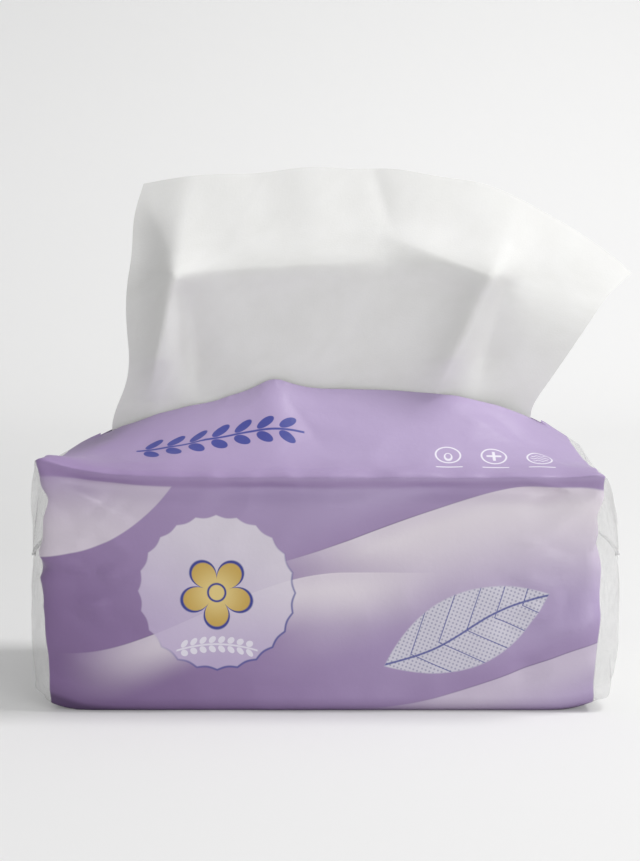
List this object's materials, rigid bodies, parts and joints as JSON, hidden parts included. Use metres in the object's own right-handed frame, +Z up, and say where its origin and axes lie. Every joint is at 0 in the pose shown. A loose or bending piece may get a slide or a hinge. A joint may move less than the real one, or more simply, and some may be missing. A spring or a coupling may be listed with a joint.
{
  "type": "soft pack of facial tissues",
  "caption": "Film-wrapped soft pack of folded facial tissues, torn open along the tented top, with the next tissue standing half out of the slit",
  "frame": {"origin": "on the pack's flat underside, at the middle of its length and depth, which is the surface it stands on", "axes": "+Z up, X along the pack and its slit, the printed front faces -Y"},
  "size_m": [0.2224, 0.0936, 0.1901],
  "materials": {
    "printed_film": "satin printed polyethylene film, milky clear and unprinted at the ends",
    "tissue": "soft white three-ply tissue, finely embossed"
  },
  "bodies": {
    "root": {"film_wrapper": "printed_film", "tissue_stack": "tissue", "standing_sheet": "tissue"}
  },
  "joints": []
}
